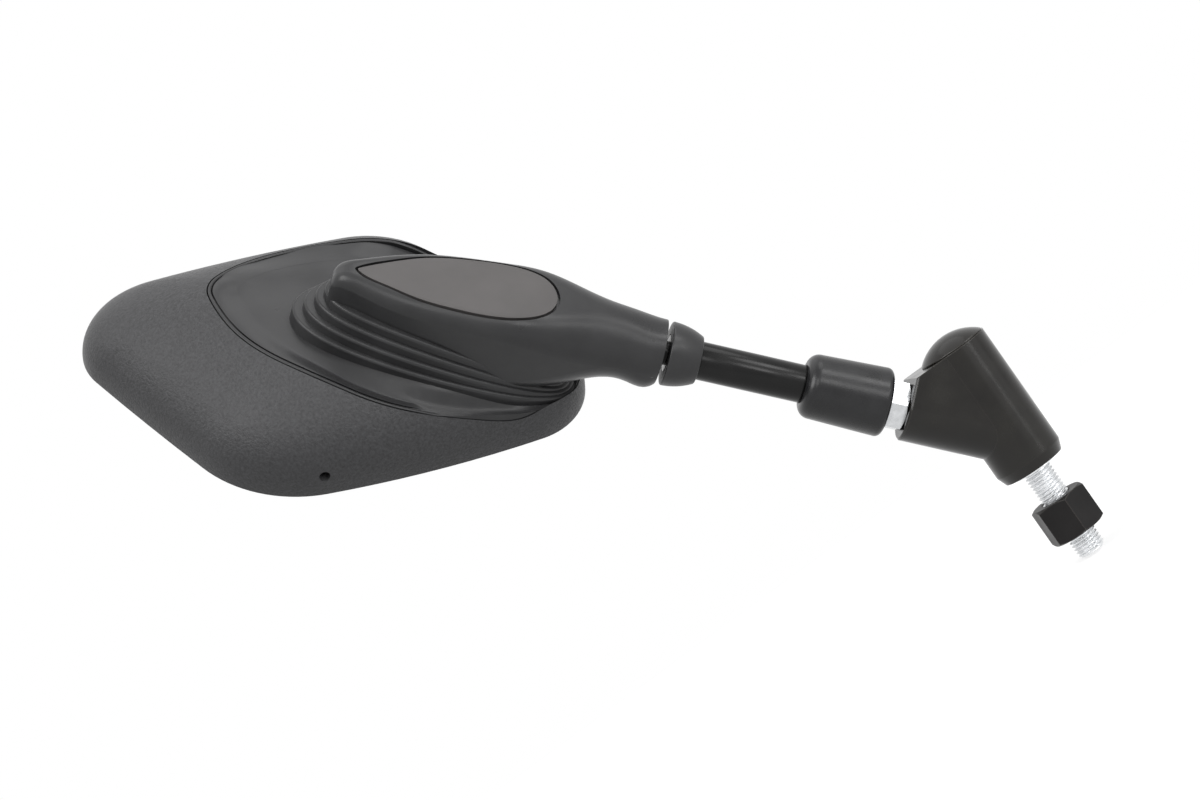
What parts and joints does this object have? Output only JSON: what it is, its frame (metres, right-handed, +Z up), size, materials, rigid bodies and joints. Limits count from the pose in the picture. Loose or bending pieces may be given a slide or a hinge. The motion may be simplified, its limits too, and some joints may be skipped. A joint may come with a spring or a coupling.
{
  "type": "motorcycle mirror",
  "caption": "Rear-view mirror for a handlebar: a rounded rhombic head with a ribbed neck on a ball-ended stem, held by a Y-shaped adapter that swivels on a threaded stud.",
  "frame": {"origin": "on the stud's axis, at the seat plane under the mount nut", "axes": "+Z up the stud, +X outboard, the way the stem leans, +Y forward, so the glass faces rearward"},
  "size_m": [0.2411, 0.0895, 0.2499],
  "materials": {
    "grained_black": "fine grained, matte",
    "smooth_black": "smooth, satin",
    "plate_grey": "smooth, satin",
    "black_coat": "black coat, semi-gloss",
    "adapter_coat": "black coat, satin gloss",
    "black_oxide": "black oxide, satin",
    "zinc": "bright zinc plate",
    "rubber": "smooth moulded rubber",
    "foam": "closed-cell foam tape",
    "mirror": "convex mirror, polished",
    "acetal": "natural acetal",
    "screw_steel": "plain steel"
  },
  "bodies": {
    "bolt": {"pivot_bolt": "zinc", "bolt_washer": "zinc"},
    "mount_nut": {"mount_nut": "black_oxide"},
    "adapter": {"adapter_body": "adapter_coat", "pivot_bush": "zinc", "dome_cap": "adapter_coat"},
    "stem": {"stem_rod": "black_coat", "stem_collar": "smooth_black"},
    "lock_nut": {"stem_lock_nut": "zinc"},
    "boot": {"rubber_boot": "rubber"},
    "cup": {"pressure_cup": "acetal"},
    "liner": {"ball_liner": "acetal"},
    "head": {"housing_shell": "grained_black", "neck_moulding": "smooth_black", "insert_plate": "plate_grey", "mirror_glass": "mirror", "glass_pad": "foam", "shell_screws": "screw_steel", "ball_spring": "screw_steel", "spring_retainer": "screw_steel", "retainer_screws": "screw_steel"}
  },
  "joints": [
    {"name": "mount_nut_run", "type": "slide", "parent": "bolt", "child": "mount_nut", "axis": [0, 0, 1], "range_m": [-0.006, 0.011]},
    {"name": "adapter_swivel", "type": "hinge", "parent": "bolt", "child": "adapter", "pos_m": [0, 0, 0.0397], "axis": [0, 0, 1], "continuous": true},
    {"name": "stem_turn", "type": "hinge", "parent": "adapter", "child": "stem", "pos_m": [0.02677, 0, 0.06943], "axis": [0.6691, 0, 0.7431], "continuous": true},
    {"name": "lock_nut_run", "type": "slide", "parent": "stem", "child": "lock_nut", "axis": [0.6691, 0, 0.7431], "range_m": [0, 0.006]},
    {"name": "boot_slide", "type": "slide", "parent": "stem", "child": "boot", "axis": [0.6691, 0, 0.7431], "range_m": [-0.0055, 0.03]},
    {"name": "head_turn", "type": "hinge", "parent": "stem", "child": "cup", "pos_m": [0.09114, 0, 0.14092], "axis": [0.6691, 0, 0.7431], "continuous": true},
    {"name": "head_nod", "type": "hinge", "parent": "cup", "child": "liner", "pos_m": [0.09114, 0, 0.14092], "axis": [-0.5751, -0.6334, 0.5178], "range_deg": [-7.5, 7.5]},
    {"name": "head_swing", "type": "hinge", "parent": "liner", "child": "head", "pos_m": [0.09114, 0, 0.14092], "axis": [-0.4707, 0.7738, 0.4238], "range_deg": [-7.5, 7.5]}
  ]
}
